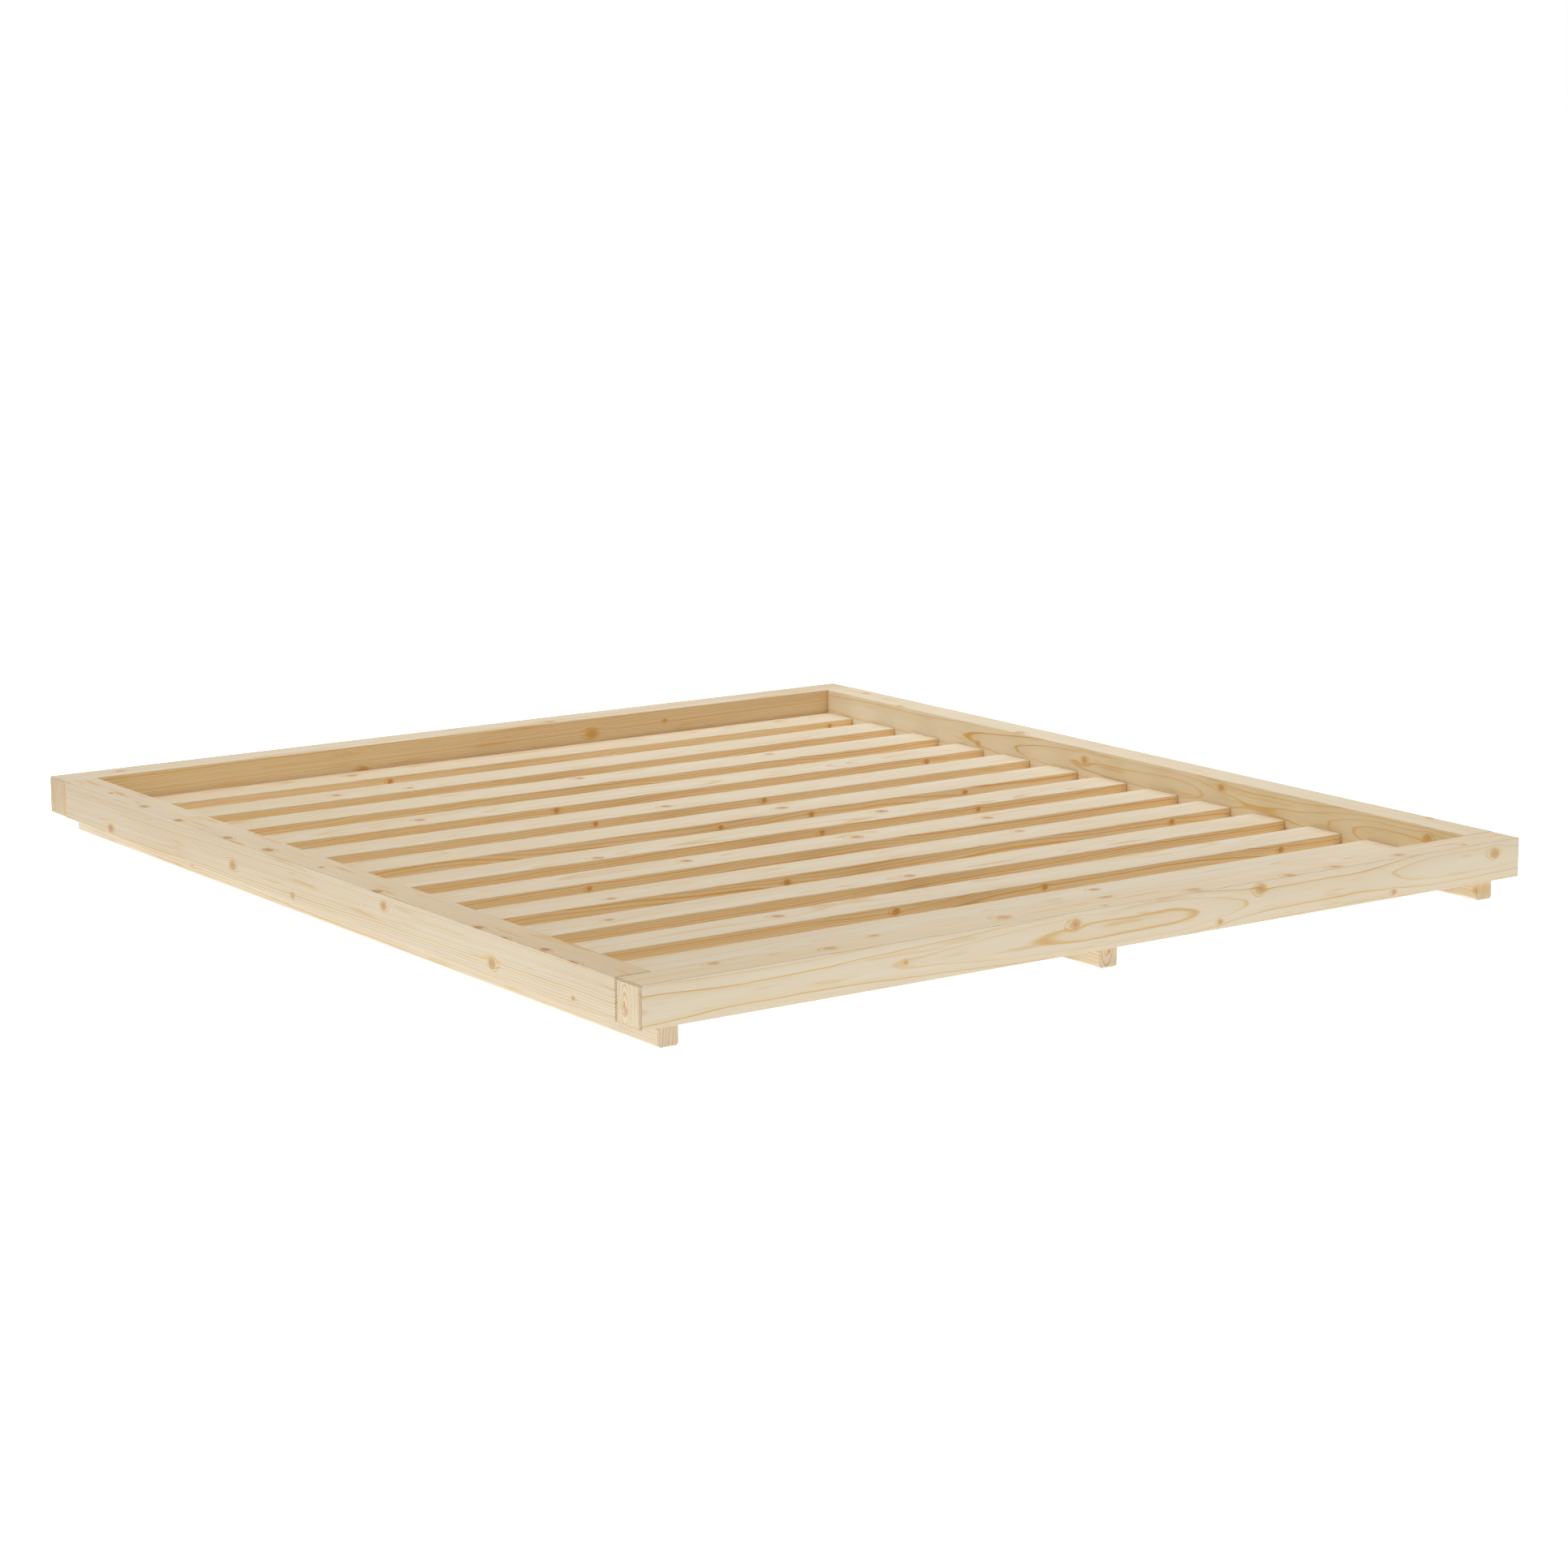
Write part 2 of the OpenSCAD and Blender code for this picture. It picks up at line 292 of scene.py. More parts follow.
def knot_group():
    """One knot on a face. It bends the growth lines round itself, and says how much of
    this point is knot, how dark the knot is there, how golden the wood round it, and
    how much of it is the amber hook that wraps one side of the knot."""
    graph, given, result = new_group(
        "Knot",
        [
            ("Along", "Float"), ("Level", "Float"), ("Wobble", "Float"), ("Facing", "Float"),
            ("At Along", "Float"), ("At Level", "Float"), ("Per Radius", "Float"),
        ],
        [("Level", "Float"), ("Knot", "Float"), ("Dark", "Float"), ("Halo", "Float"), ("Hook", "Float")],
    )
    off_level = graph.math("SUBTRACT", given["Level"], given["At Level"])
    off_along = graph.math("SUBTRACT", given["Along"], given["At Along"])
    near = graph.scaled(graph.joined(off_along, off_level, 0.0), given["Per Radius"])

    swirl = graph.vector("LENGTH", graph.vector("MULTIPLY", near, BEND_SCALE))
    bend = graph.math("EXPONENT", graph.product(swirl, swirl, -1.0))
    push = graph.product(off_level, graph.product(bend, BEND_SHARE, given["Facing"]))
    graph.feed(result["Level"], graph.math("SUBTRACT", given["Level"], push))

    reach = graph.vector("LENGTH", graph.vector("MULTIPLY", near, DISC_SCALE))
    reach = graph.math("ADD", reach, given["Wobble"])
    rim = graph.product(graph.step(reach, *RIM_RISE), graph.fall(reach, *RIM_FALL))
    disc = graph.step(reach, *DISC_FALL, 1.0, DISC_EDGE)
    share = graph.product(graph.math("MAXIMUM", disc, rim), graph.fall(reach, *KNOT_FALL))
    graph.feed(result["Knot"], graph.product(share, given["Facing"]))
    heart = graph.step(reach, *HEART_FALL, *HEART_DARK)
    graph.feed(result["Dark"], graph.math("MAXIMUM", heart, graph.product(rim, RIM_DARK)))
    graph.feed(result["Halo"], graph.product(graph.fall(swirl, *HALO_FALL), given["Facing"]))

    wrap = graph.vector("LENGTH", graph.vector("MULTIPLY", near, HOOK_SCALE))
    wrap = graph.math("ADD", wrap, given["Wobble"])
    hook = graph.product(graph.step(wrap, *HOOK_RISE), graph.fall(wrap, *HOOK_FALL))
    one_side = graph.fall(graph.product(off_along, given["Per Radius"]), *HOOK_SIDE)
    graph.feed(result["Hook"], graph.product(hook, one_side, given["Facing"]))
    return graph.tree


def ring_group():
    """Growth rings round a pith that wanders and leans: how much of this point is late
    wood. Place is along the board, across it and up; Lean is metres per metre."""
    graph, given, result = new_group(
        "Growth rings",
        [
            ("Place", "Vector"), ("Pith", "Vector"), ("Lean", "Vector"),
            ("Spacing", "Float"), ("Wander", "Float"), ("Seed", "Float"), ("Soft", "Float"),
        ],
        [("Late", "Float")],
    )
    along = graph.split(given["Place"])[0]
    slow = graph.joined(along, given["Seed"], 0.0)
    drift = graph.vector("SUBTRACT", graph.noise(slow, DRIFT_SCALE, 2.0, 0.4)[1], (0.5, 0.5, 0.5))
    pith = graph.vector("ADD", given["Pith"], graph.scaled(drift, given["Wander"]))
    pith = graph.vector("ADD", pith, graph.scaled(given["Lean"], along))
    out = graph.vector("SUBTRACT", given["Place"], pith)
    out = graph.vector("MULTIPLY", out, (0.0, 1.0, 1.0))

    fine = graph.vector("MULTIPLY", given["Place"], WAVER_STRETCH)
    fine = graph.vector("ADD", fine, graph.joined(given["Seed"], 0.0, given["Seed"]))
    waver = graph.math("SUBTRACT", graph.noise(fine, 1.0, 2.0, 0.5)[0], 0.5)
    radius = graph.math("ADD", graph.vector("LENGTH", out), graph.product(waver, WAVER))
    count = graph.math("ADD", graph.math("DIVIDE", radius, given["Spacing"]), given["Seed"])
    uneven = graph.noise(graph.joined(count, 0.0, 0.0), UNEVEN_SCALE, 1.0)[0]
    count = graph.math("ADD", count, graph.product(uneven, UNEVEN))

    phase = graph.math("FRACT", count)
    year = graph.math("FLOOR", count)
    strong = graph.add("ShaderNodeTexWhiteNoise", {"W": year}, noise_dimensions="1D").outputs[0]
    broad = graph.step(phase, *SUMMER_RISE)
    start = graph.math("SUBTRACT", LATE_START, graph.product(given["Soft"], LATE_SOFTENING))
    narrow = graph.step(phase, start, LATE_FULL, 0.0, LATE_SHARE)
    fall = graph.fall(phase, *LATE_FALL)
    line = graph.product(graph.math("ADD", broad, narrow), fall)
    graph.feed(result["Late"], graph.product(line, graph.step(strong, 0.0, 1.0, FAINT_YEAR, 1.0)))
    return graph.tree


KNOT = knot_group()
RINGS = ring_group()


# ---------------------------------------------------------------- materials
def knotted(graph, along, level, wobble, facing, where):
    """One knot. where is its place along the board, its level and its radius."""
    at_along, at_level, radius = where
    ends = {"Along": along, "Level": level, "Wobble": wobble, "Facing": facing}
    ends.update({"At Along": at_along, "At Level": at_level, "Per Radius": 1.0 / radius})
    return grouped(graph, KNOT, ends)


def faces(graph, normal, grain_axis):
    """How much this point's face is an end, a top or bottom, an underside, a side or the
    slanted edge of an end, each from 0 to 1."""
    facing = graph.split(graph.vector("ABSOLUTE", normal))
    on_end = graph.step(facing[grain_axis], *END_FACING)
    on_top = graph.step(facing[2], *TOP_FACING)
    below = graph.fall(graph.split(normal)[2], *BELOW_FACING)
    on_side = graph.math("SUBTRACT", 1.0, on_top)
    leaning = graph.step(facing[grain_axis], *SLANT_RISE)
    slant = graph.product(leaning, graph.fall(facing[grain_axis], *SLANT_FALL))
    return {"end": on_end, "top": on_top, "below": below, "side": on_side, "slant": slant}


def bent_by_knots(graph, place, face, wobble, knots):
    """Where the growth lines are read once every knot has bent them, and how much of
    this point is knot, dark knot, golden halo and amber hook. Each knot bends the level
    that the next one is read at."""
    along, across, up = place
    level = graph.between(face["top"], up, across)
    found = {"Knot": 0.0, "Dark": 0.0, "Halo": 0.0, "Hook": 0.0}
    for facing, *where in knots:
        made = knotted(graph, along, level, wobble, face[facing], where)
        level = made["Level"]
        dark = graph.product(made["Dark"], made["Knot"])
        found["Dark"] = graph.math("MAXIMUM", found["Dark"], dark)
        for part in ("Knot", "Halo", "Hook"):
            found[part] = graph.math("MAXIMUM", found[part], made[part])
    bent_across = graph.between(face["top"], across, level)
    bent_up = graph.between(face["top"], level, up)
    return graph.joined(along, bent_across, bent_up), found


def long_lines(graph, board, along, bent, on_top):
    """How much of this point is late wood, on the faces that run along the grain."""
    heart = board["pith"][0]
    for start, stop, shift in board["swells"]:
        heart = graph.math("ADD", heart, graph.step(along, start, stop, 0.0, shift))
    heart = graph.joined(0.0, heart, board["pith"][1])
    gap = graph.between(on_top, board["spacing"], board["top_spacing"] or board["spacing"])
    ends = {"Place": bent, "Pith": heart, "Lean": (0, *board["lean"])}
    ends.update({"Spacing": gap, "Wander": board["wander"], "Seed": board["seed"], "Soft": board["soft"]})
    return grouped(graph, RINGS, ends)["Late"]


def end_lines(graph, board, across, up, wobble, on_end):
    """The same on the ends, and how much of this point is the end's own knot, and dark.
    The lines stand upright, or make a flame round that knot."""
    pith, lean = END_PITH, END_LEAN
    level, part, dark = across, 0.0, 0.0
    if board["end_knot"]:
        at_up, at_across, _ = board["end_knot"]
        pith = (0.0, at_across, -FLAME_LEAN * at_up)
        lean = (0.0, 0.0, FLAME_LEAN)
        made = knotted(graph, up, across, wobble, on_end, board["end_knot"])
        level, part = made["Level"], made["Knot"]
        dark = graph.product(made["Dark"], made["Knot"])
    upright = graph.joined(up, level, 0.0)
    ends = {"Place": upright, "Pith": pith, "Lean": lean, "Seed": board["seed"] + END_SEED_STEP}
    return grouped(graph, RINGS, {**ends, **END_RINGS})["Late"], part, dark


def untinted_wood(graph, board, place, bent, late, found, face):
    """The colour of the wood before its tints, and its fine streaks. place and bent are
    this point before and after the knots have bent it, and found is what knots are here."""
    clouds = graph.drawn_out(place, *CLOUDS)
    streaks = graph.drawn_out(bent, *STREAKS)
    shown = graph.between(face["top"], *board["lines"])
    body = graph.mixed(graph.step(clouds, *PALE_RISE), CREAM, PALE)
    body = graph.mixed(graph.product(found["Halo"], HALO_SHARE, shown), body, GOLD)
    deep = graph.mixed(graph.step(clouds, *AMBER_RISE), GOLD, AMBER)
    wood = graph.mixed(graph.product(late, shown), body, deep)
    wood = graph.mixed(graph.product(found["Hook"], HOOK_SHARE), wood, AMBER)

    smears = graph.drawn_out(bent, *SMEARS)
    smear_share = graph.step(face["top"], 0.0, 1.0, SMEAR_SHARE, board["top_smear"])
    wood = graph.mixed(graph.step(smears, *SMEAR_RISE, 0.0, smear_share), wood, deep)
    tone = graph.step(face["top"], 0.0, 1.0, board["knot_tone"], board["top_tone"])
    knot = graph.mixed(graph.math("MAXIMUM", found["Dark"], tone), KNOT_PINK, KNOT_DARK)
    knot_share = KNOT_SHARE + KNOT_SHARE_BY_TONE * board["knot_tone"]
    wood = graph.mixed(graph.product(found["Knot"], knot_share), wood, knot)
    wood = graph.mixed(graph.step(streaks, *STREAK_RISE, 0.0, STREAK_SHARE), wood, GOLD)
    return wood, streaks


def pine(node, board):
    """Planed pine for one board, which BOARDS describes."""
    board = {**PLAIN_BOARD, **board}
    low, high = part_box(node)
    middle = (low + high) / 2
    grain_axis, cross_axis = (0, 1) if board["grain"] == "x" else (1, 0)
    material, graph, shader = new_material("pine_" + node)

    here = graph.add("ShaderNodeTexCoord").outputs["Object"]
    from_middle = graph.split(graph.vector("SUBTRACT", here, tuple(middle)))
    along, across, up = from_middle[grain_axis], from_middle[cross_axis], from_middle[2]
    place = graph.joined(along, across, up)
    normal = graph.add("ShaderNodeNewGeometry").outputs["Normal"]
    face = faces(graph, normal, grain_axis)

    wobble = graph.math("SUBTRACT", graph.noise(place, WOBBLE_SCALE)[0], 0.5)
    wobble = graph.product(wobble, WOBBLE_SHARE)
    bent, found = bent_by_knots(graph, (along, across, up), face, wobble, board["knots"])
    late = long_lines(graph, board, along, bent, face["top"])
    end_late, end_part, end_dark = end_lines(graph, board, across, up, wobble, face["end"])
    late = graph.between(face["end"], late, end_late)
    found["Knot"] = graph.between(face["end"], found["Knot"], end_part)
    found["Dark"] = graph.between(face["end"], found["Dark"], end_dark)

    wood, streaks = untinted_wood(graph, board, place, bent, late, found, face)
    # The slanted edges at the ends are browned on and between the growth lines: partly the real cut grain,
    # partly painted shade, which upward-facing edges keep less of.
    cut = graph.product(face["slant"], graph.step(late, *CUT_RISE, *board["cut_grain"]))
    cut = graph.product(cut, graph.step(graph.split(normal)[2], *UPWARD_RISE, 1.0, CUT_ON_TOP))
    wood = graph.mixed(cut, wood, CUT_GRAIN_AND_SHADE)
    # Painted shade: faces that point down are darkened towards the underside colour.
    wood = graph.mixed(graph.product(face["below"], BELOW_SHADE_SHARE), wood, UNDERSIDE_SHADE)

    # Painted light and shade: each face gets its own tint, fading from one end of the board to the other,
    # which darkens and warms faces in shade and lightens lit ones.
    half_length = (high - low)[grain_axis] / 2
    fade = graph.step(along, -half_length, half_length)
    side_painted_light = graph.mixed(fade, board["side"], board["far_side"] or board["side"])
    if board["outside"]:
        outward = 1.0 if middle[cross_axis] > 0 else -1.0
        faces_out = graph.product(graph.split(normal)[cross_axis], outward)
        faces_out = graph.step(faces_out, *OUTWARD_RISE)
        side_painted_light = graph.mixed(faces_out, side_painted_light, board["outside"])
    top_painted_light = graph.mixed(fade, board["top"], board["far_top"] or board["top"])
    tint = graph.mixed(face["top"], side_painted_light, top_painted_light)
    tint = graph.mixed(face["end"], tint, board["end"] or board["side"])
    graph.feed(shader.inputs["Base Color"], graph.mixed(1.0, wood, tint, blend="MULTIPLY"))

    rough = graph.math("ADD", graph.product(streaks, STREAKS_ROUGHER), graph.product(late, LATE_SMOOTHER))
    graph.feed(shader.inputs["Roughness"], graph.math("ADD", rough, ROUGHNESS))
    fibres = graph.drawn_out(place, *FIBRES)
    raised = {"Strength": FIBRE_STRENGTH, "Distance": FIBRE_DEPTH, "Height": fibres}
    graph.feed(shader.inputs["Normal"], graph.add("ShaderNodeBump", raised).outputs[0])
    shader.inputs["Specular IOR Level"].default_value = SPECULAR
    return material


def steel(name):
    """Bright zinc plate, with the faint mottle of its crystals."""
    material, graph, shader = new_material(name)
    here = graph.add("ShaderNodeTexCoord").outputs["Object"]
    mottle = graph.noise(here, MOTTLE_SCALE)[0]
    graph.feed(shader.inputs["Base Color"], graph.mixed(mottle, ZINC_DULL, ZINC_BRIGHT))
    graph.feed(shader.inputs["Roughness"], graph.step(mottle, 0.2, 0.8, *STEEL_ROUGHNESS))
    shader.inputs["Metallic"].default_value = 1.0
    return material


def beech(name):
    """Turned beech, with short brown flecks along the grain."""
    material, graph, shader = new_material(name)
    here = graph.add("ShaderNodeTexCoord").outputs["Object"]
    flecks = graph.drawn_out(here, *FLECKS)
    brown = graph.mixed(graph.step(flecks, *FLECK_RISE), BEECH, BEECH_FLECK)
    graph.feed(shader.inputs["Base Color"], brown)
    graph.feed(shader.inputs["Roughness"], graph.step(flecks, 0.3, 0.7, *BEECH_ROUGHNESS))
    return material


def wear(node, material):
    """Gives a CAD node its one material."""
    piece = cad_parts[node]
    piece.data.materials.clear()
    piece.data.materials.append(material)


# ---------------------------------------------------------------- the boards
# Knots are (face, along the board, level on that face, radius), in metres from the
# board's middle. A side's level is up; a top's is across.
LEFT_KNOTS = [
    ("side", 0.80, -0.024, 0.008), ("side", 0.29, -0.009, 0.009), ("side", 0.06, -0.025, 0.005),
    ("side", -0.27, 0.017, 0.008), ("side", -0.63, -0.015, 0.009), ("side", -0.88, -0.023, 0.004),
    ("top", 0.84, -0.013, 0.005), ("top", 0.68, -0.020, 0.008), ("top", 0.52, -0.027, 0.008),
    ("top", 0.32, -0.028, 0.009), ("top", 0.18, -0.018, 0.011), ("top", -0.01, -0.012, 0.005),
    ("top", -0.24, -0.030, 0.011), ("top", -0.58, -0.030, 0.010), ("top", -0.78, -0.024, 0.009),
    ("top", -0.67, -0.040, 0.010), ("top", -0.88, -0.042, 0.013), ("top", -1.01, -0.020, 0.006),
]
FRONT_KNOTS = [
    ("side", -0.456, 0.001, 0.004), ("side", -0.094, 0.016, 0.009), ("side", 0.33, 0.023, 0.009),
    ("side", 0.913, 0.015, 0.009), ("side", 0.236, -0.024, 0.005), ("side", 0.657, -0.025, 0.005),
    ("top", -0.80, 0.022, 0.009), ("top", -0.587, -0.002, 0.010), ("top", -0.475, 0.030, 0.009),
    ("top", -0.216, 0.008, 0.012), ("top", 0.025, 0.030, 0.011), ("top", -0.018, -0.022, 0.005),
    ("top", 0.188, -0.019, 0.011), ("top", 0.405, -0.026, 0.010), ("top", 0.52, -0.022, 0.010),
    ("top", 0.685, -0.016, 0.009), ("top", 0.846, -0.020, 0.006),
]
BACK_KNOTS = [
    ("side", 0.272, 0.003, 0.010), ("side", -0.30, -0.018, 0.009), ("side", 0.464, 0.012, 0.004),
    ("top", 0.174, -0.020, 0.010), ("top", -0.84, 0.0, 0.008),
]
RIGHT_KNOTS = [
    ("side", 0.454, -0.005, 0.005), ("side", 0.097, 0.012, 0.008), ("side", -0.327, 0.020, 0.007),
    ("side", -0.904, 0.013, 0.009), ("top", 0.917, 0.009, 0.008), ("top", 0.738, -0.030, 0.007),
    ("top", 0.323, -0.025, 0.011), ("top", -0.848, 0.026, 0.008),
]
SLAT_SIDE_KNOT = 0.58  # what a slat's side knot is scaled by, to fit the slat's thin side
SLAT_KNOTS = {
    1: [("side", -0.29, 0.0, 0.010), ("top", -0.35, 0.01, 0.010), ("side", 0.847, 0.0, 0.008)],
    2: [("top", -0.32, -0.02, 0.007), ("top", -0.48, 0.0, 0.009)],
    3: [("top", 0.50, 0.02, 0.008), ("top", 0.02, 0.025, 0.009)],
    4: [("side", -0.18, 0.003, 0.010), ("side", 0.755, 0.0, 0.010), ("top", -0.47, 0.0, 0.009)],
    5: [("side", 0.217, 0.004, 0.010), ("side", -0.19, 0.003, 0.008), ("top", 0.0, -0.01, 0.010)],
    6: [
        ("side", 0.0, 0.0, 0.008), ("side", 0.22, 0.0, 0.009), ("side", 0.61, 0.0, 0.009),
        ("top", 0.18, 0.0, 0.011),
    ],
    7: [
        ("side", 0.519, 0.001, 0.008), ("side", 0.13, 0.0, 0.009), ("top", 0.32, 0.015, 0.012),
        ("top", -0.38, -0.03, 0.010),
    ],
    8: [
        ("side", -0.51, 0.0, 0.008), ("top", 0.45, 0.0, 0.011), ("top", 0.13, 0.0, 0.012),
        ("top", -0.26, 0.01, 0.010),
    ],
    9: [
        ("side", -0.18, -0.003, 0.011), ("side", 0.755, 0.0, 0.010), ("top", 0.42, 0.02, 0.009),
        ("top", -0.55, -0.02, 0.008),
    ],
    10: [("top", 0.0, -0.02, 0.010), ("top", -0.645, 0.0, 0.008)],
    11: [
        ("side", -0.171, 0.0, 0.011), ("side", 0.17, 0.0, 0.009), ("side", 0.752, -0.002, 0.010),
        ("top", -0.39, 0.01, 0.010),
    ],
    12: [("top", 0.2, 0.01, 0.009)],
    13: [("top", -0.3, -0.01, 0.009), ("top", 0.55, 0.0, 0.010)],
}

# grain is the board's long axis. pith is where the heart of the tree lay, across and up
# from the board's middle, lean is how it runs on, and each of swells is (from, to, metres
# across) that it shifts by. spacing is a year's width, soft is how gradually its late
# wood comes in, and wander is how many metres the pith strays. lines is how strongly the
# growth lines show, on the sides and on the top. side, top, end and outside tint the
# faces, outside being the side that faces away from the bed, and far_side and far_top
# are what the tints fade to at the board's + end. These tints are painted light and
# shade: what a board's faces share is its own tone, but the differences between its
# faces, and the fades along it, darken, warm or lighten each face as light falls on it.
# knot_tone and top_tone darken the knots on the sides and on the top, and top_smear is
# how strong the top's smears are. end_knot is (up, across, radius), and cut_grain is how
# brown the slanted edge of an end is, between the growth lines and on them, a brown that
# is partly the real cut grain and partly painted shade.
BOARDS = {
    "left_rail": {
        "grain": "y", "pith": (0.09, -0.12), "lean": (0.004, -0.01), "spacing": 0.0033, "seed": 1.0,
        "knots": LEFT_KNOTS, "knot_tone": 0.2, "top_tone": 0.65, "top_smear": 0.85, "lines": (1.2, 0.95),
        "side": (0.985, 1.01, 1.05), "far_side": (0.905, 0.905, 0.92),
        "top": (0.86, 0.795, 0.70), "far_top": (0.935, 0.93, 0.94), "cut_grain": (0.35, 0.95),
    },
    "front_rail": {
        "grain": "x", "pith": (0.0185, 0.0), "lean": (0.004, 0.008), "spacing": 0.0068, "seed": 5.0,
        "swells": [(-0.56, -0.01, -0.014), (0.10, 0.36, 0.012), (0.55, 0.80, -0.009)],
        "soft": 0.15, "top_spacing": 0.0040, "lines": (1.3, 0.85),
        "knots": FRONT_KNOTS, "end_knot": (-0.010, 0.007, 0.006), "cut_grain": (0.46, 0.80),
        "side": (1.02, 1.03, 1.035), "top": (0.92, 0.88, 0.81), "far_top": (1.01, 0.99, 0.99),
    },
    "back_rail": {
        "grain": "x", "pith": (-0.03, -0.14), "lean": (0.0, 0.008), "spacing": 0.0044, "seed": 9.0,
        "knots": BACK_KNOTS, "lines": (2.6, 0.60), "soft": 0.5, "wander": 0.004,
        # Painted shade: the inner face is warmed and darkened further towards the + end, the ends are
        # darkened, and the outer face keeps a plain tint.
        "side": (1.11, 1.025, 0.845), "far_side": (1.01, 0.91, 0.755), "outside": (1.0, 1.01, 1.02),
        "top": (0.93, 0.92, 0.93), "end": (0.86, 0.85, 0.82),
    },
    "right_rail": {
        "grain": "y", "pith": (0.030, 0.0), "lean": (0.006, 0.008), "spacing": 0.0060, "seed": 14.0,
        "swells": [(0.62, 0.02, -0.014), (-0.15, -0.42, 0.012), (-0.55, -0.80, -0.010)],
        "soft": 0.15, "top_spacing": 0.0042, "lines": (1.4, 0.60), "knots": RIGHT_KNOTS,
        # Painted light and shade: the inner face is warmed at the - end and lightened towards the + end, and
        # the outer face keeps a plain tint.
        "side": (1.045, 0.98, 0.81), "far_side": (1.13, 1.13, 1.10), "outside": (1.0, 1.01, 1.02),
        "top": (1.0, 1.0, 1.0),
    },
}
for number, side in enumerate(("left", "middle", "right")):
    BOARDS[side + "_runner"] = {
        "grain": "y", "pith": (0.03, -0.09), "lean": (0.0, 0.01), "spacing": 0.0055,
        "seed": 20.0 + 7 * number, "knots": [("side", 0.55 - 0.8 * number, 0.0, 0.006)],
        "lines": (1.1, 0.90),
        # Painted light: the runners' sides and tops are lightened and cooled against the shade under the
        # rails, their ends darkened, and the right runner's sides get a darker tint.
        "side": (0.98, 1.05, 1.18), "top": (0.98, 1.05, 1.18), "end": (0.90, 0.93, 0.98),
    }
BOARDS["middle_runner"]["end_knot"] = (0.008, 0.0, 0.003)
BOARDS["right_runner"]["side"] = (0.90, 0.93, 1.00)

# Each slat is sawn from another place in its tree.
knot_sizes = {"side": SLAT_SIDE_KNOT, "top": 1.0}
for number, knots in SLAT_KNOTS.items():
    BOARDS[f"slat_{number:02d}"] = {
        "grain": "x", "pith": (0.03 * math.sin(2.4 * number), -0.055 - 0.03 * math.cos(1.7 * number)),
        "lean": (0.004, 0.006), "spacing": 0.0042, "seed": 40.0 + 3.3 * number,
        "soft": 0.75, "wander": 0.05, "lines": (1.45, 0.60), "knot_tone": 0.4,
        "knots": [(face, along, level, radius * knot_sizes[face]) for face, along, level, radius in knots],
        # Painted shade: the slats' sides are darkened and warmed, a little less towards the + end, and their
        # tops fade from darker at the - end to paler at the + end.
        "side": (1.005, 0.835, 0.59), "far_side": (1.045, 0.88, 0.65),
        "top": (0.89, 0.87, 0.84), "far_top": (0.975, 1.00, 1.05),
    }

for node, board in BOARDS.items():
    wear(node, pine(node, board))

# ---------------------------------------------------------------- the hardware
STEEL = steel("zinc_steel")
wear("corner_dowels", beech("beech_dowels"))
for node in ("hanger_bolts", "half_moon_washers", "hanger_nuts", "runner_end_screws", "side_rail_screws"):
    wear(node, STEEL)
for side in ("left", "middle", "right"):
    wear("slat_screws_" + side, STEEL)


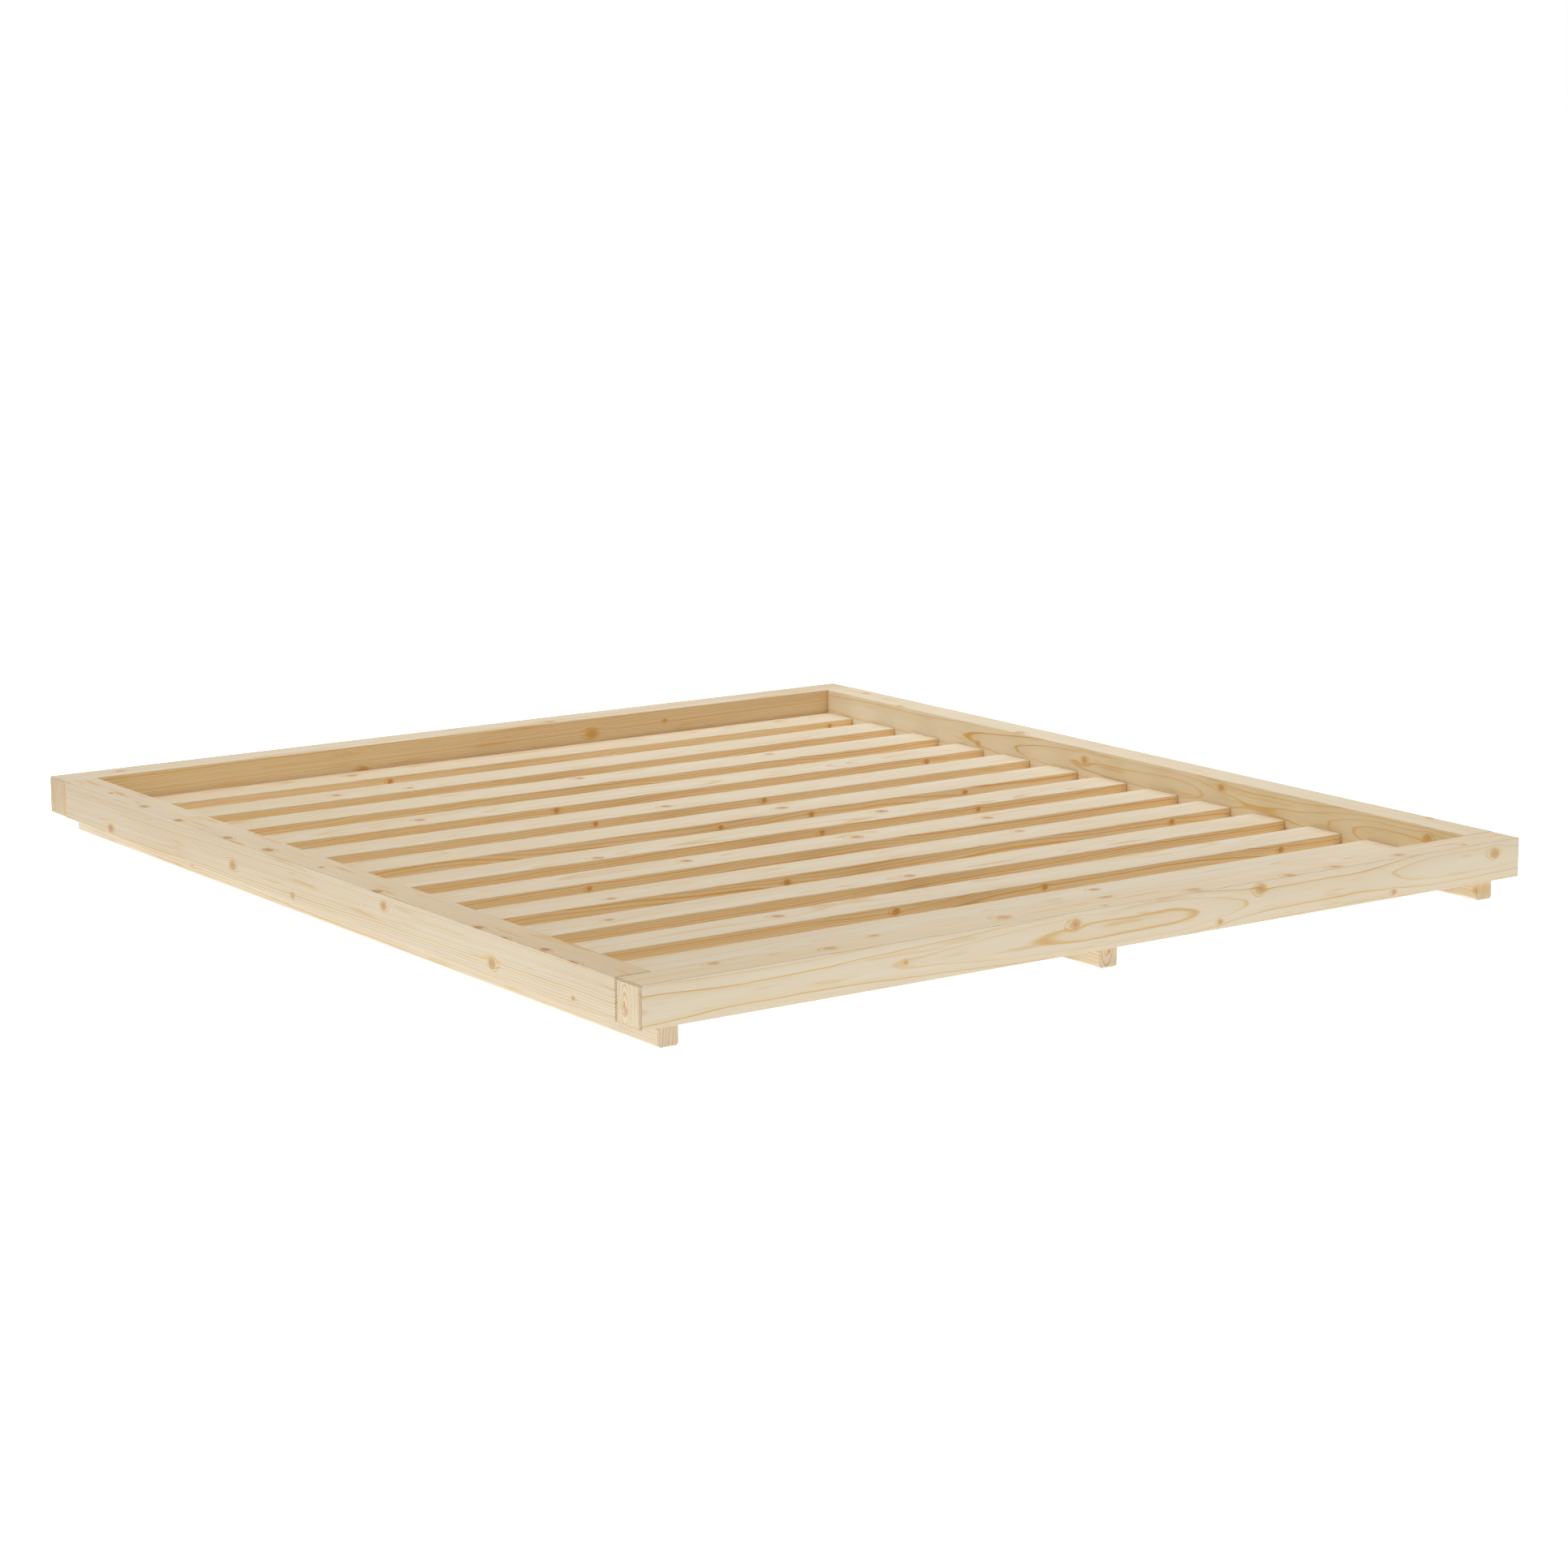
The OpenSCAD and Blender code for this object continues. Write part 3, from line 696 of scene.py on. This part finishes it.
# ---------------------------------------------------------------- studio
def floor():
    """A white floor that glows, least under the bed and most just beside it. The camera
    sees it pure white."""
    mesh = bpy.data.meshes.new("floor")
    near, far = -FLOOR_HALF, FLOOR_HALF
    corners = [(near, near, FLOOR_TOP), (far, near, FLOOR_TOP), (far, far, FLOOR_TOP), (near, far, FLOOR_TOP)]
    mesh.from_pydata(corners, [], [(0, 1, 2, 3)])
    piece = bpy.data.objects.new("floor", mesh)
    bpy.context.scene.collection.objects.link(piece)

    material, graph, shader = new_material("floor")
    here = graph.add("ShaderNodeTexCoord").outputs["Object"]
    aside, ahead, _ = graph.split(graph.vector("ABSOLUTE", here))
    half_width, half_length, _ = (float(measure) for measure in cad_box[1])
    off_side = graph.math("SUBTRACT", aside, half_width)
    off_end = graph.math("SUBTRACT", ahead, half_length)
    off_bed = graph.math("MAXIMUM", off_side, off_end)
    glow = graph.step(off_bed, *GLOW_RISE, GLOW_UNDER, GLOW_BESIDE)
    glow = graph.product(glow, graph.step(off_bed, *GLOW_FALL, 1.0, GLOW_FAR))
    seen = graph.add("ShaderNodeLightPath").outputs["Is Camera Ray"]
    graph.feed(shader.inputs["Emission Strength"], graph.between(seen, glow, 1.0))
    shader.inputs["Emission Color"].default_value = WHITE
    shader.inputs["Base Color"].default_value = FLOOR_WHITE
    shader.inputs["Roughness"].default_value = 0.9
    shader.inputs["Specular IOR Level"].default_value = 0.0
    mesh.materials.append(material)


def area_light(name, place, target, size, power):
    """A soft square lamp that shines from place at target."""
    lamp = bpy.data.lights.new(name, "AREA")
    lamp.shape = "SQUARE"
    lamp.size = size
    lamp.energy = power
    piece = bpy.data.objects.new(name, lamp)
    piece.location = place
    piece.rotation_euler = (Vector(target) - Vector(place)).to_track_quat("-Z", "Y").to_euler()
    bpy.context.scene.collection.objects.link(piece)


def studio():
    """A white room, which the camera sees at full strength, and two soft lamps."""
    world = bpy.data.worlds.new("studio")
    world.use_nodes = True
    graph = Graph(world.node_tree)
    sky = world.node_tree.nodes["Background"]
    seen = graph.add("ShaderNodeLightPath").outputs["Is Camera Ray"]
    sky.inputs["Color"].default_value = WHITE
    graph.feed(sky.inputs["Strength"], graph.step(seen, 0.0, 1.0, SKY_STRENGTH, 1.0))
    bpy.context.scene.world = world
    area_light("overhead", **OVERHEAD_LAMP)
    area_light("side", **SIDE_LAMP)


def camera():
    lens = bpy.data.cameras.new("camera")
    lens.lens = CAMERA_LENS
    lens.sensor_width = CAMERA_SENSOR
    piece = bpy.data.objects.new("camera", lens)
    piece.location = CAMERA_PLACE
    piece.rotation_euler = (math.radians(90 - CAMERA_DIP), 0, math.radians(-CAMERA_HEADING))
    bpy.context.scene.collection.objects.link(piece)
    bpy.context.scene.camera = piece


floor()
studio()
camera()
bpy.context.scene.view_settings.view_transform = "Standard"
